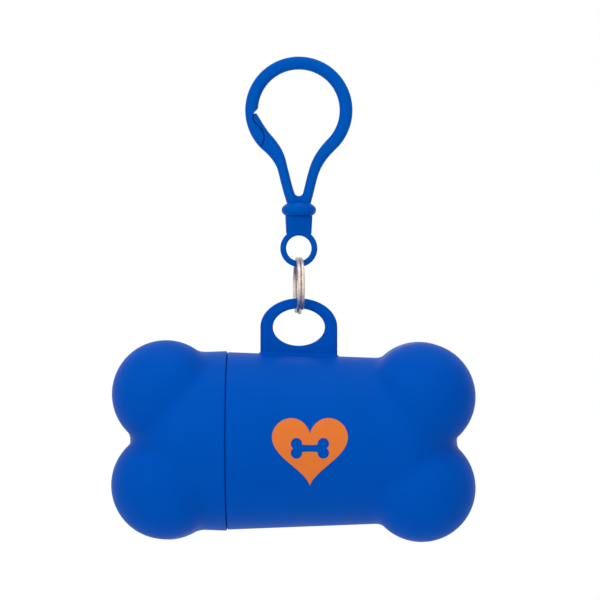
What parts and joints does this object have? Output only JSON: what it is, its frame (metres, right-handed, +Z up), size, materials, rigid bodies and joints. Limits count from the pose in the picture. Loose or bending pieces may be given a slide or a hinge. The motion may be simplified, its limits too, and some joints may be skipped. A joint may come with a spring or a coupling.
{
  "type": "dog poop bag dispenser",
  "caption": "Bone-shaped hanging case for a roll of pet waste bags, with pull-off end cap, rear bag slot, split ring and swivel clip.",
  "frame": {"origin": "centre of the clip's round loop, where the object hangs from a lead, strap or belt ring", "axes": "+X along the bone, from the end cap to the closed end; +Y from the front to the back with the bag slot; +Z up, from the bone to the clip"},
  "size_m": [0.0805, 0.0402, 0.1084],
  "materials": {
    "case_plastic": "satin moulded plastic, fine spark-eroded texture",
    "clip_plastic": "satin moulded acetal",
    "ring_steel": "nickel-plated spring steel wire",
    "core_card": "plain wound card",
    "bag_film": "thin wound film, slight sheen"
  },
  "bodies": {
    "clip": {"hook_body": "clip_plastic"},
    "gate": {"gate_arm": "clip_plastic"},
    "swivel": {"swivel_eye": "clip_plastic"},
    "ring": {"split_ring": "ring_steel"},
    "case": {"body_shell": "case_plastic"},
    "cap": {"end_cap": "case_plastic"},
    "roll": {"roll_core": "core_card", "bag_roll": "bag_film"}
  },
  "joints": [
    {"name": "gate_flex", "type": "hinge", "parent": "clip", "child": "gate", "pos_m": [-0.0022, 0, -0.01845], "axis": [0, 1, 0], "range_deg": [0, 20], "stiffness_Nm_per_rad": 0.15, "springref_deg": -5.73},
    {"name": "swivel_turn", "type": "hinge", "parent": "clip", "child": "swivel", "pos_m": [0, 0, -0.0245], "axis": [0, 0, 1], "continuous": true},
    {"name": "ring_swing", "type": "hinge", "parent": "swivel", "child": "ring", "pos_m": [0, 0, -0.03435], "axis": [0.9954, 0.0958, 0], "range_deg": [-75, 75]},
    {"name": "case_swing", "type": "hinge", "parent": "ring", "child": "case", "pos_m": [0, 0, -0.04521], "axis": [0, 1, 0], "range_deg": [-70, 70]},
    {"name": "cap_pull", "type": "slide", "parent": "case", "child": "cap", "axis": [-1, 0, 0], "range_m": [0, 0.03]},
    {"name": "roll_spin", "type": "hinge", "parent": "case", "child": "roll", "pos_m": [0, 0, -0.07422], "axis": [1, 0, 0], "continuous": true}
  ]
}
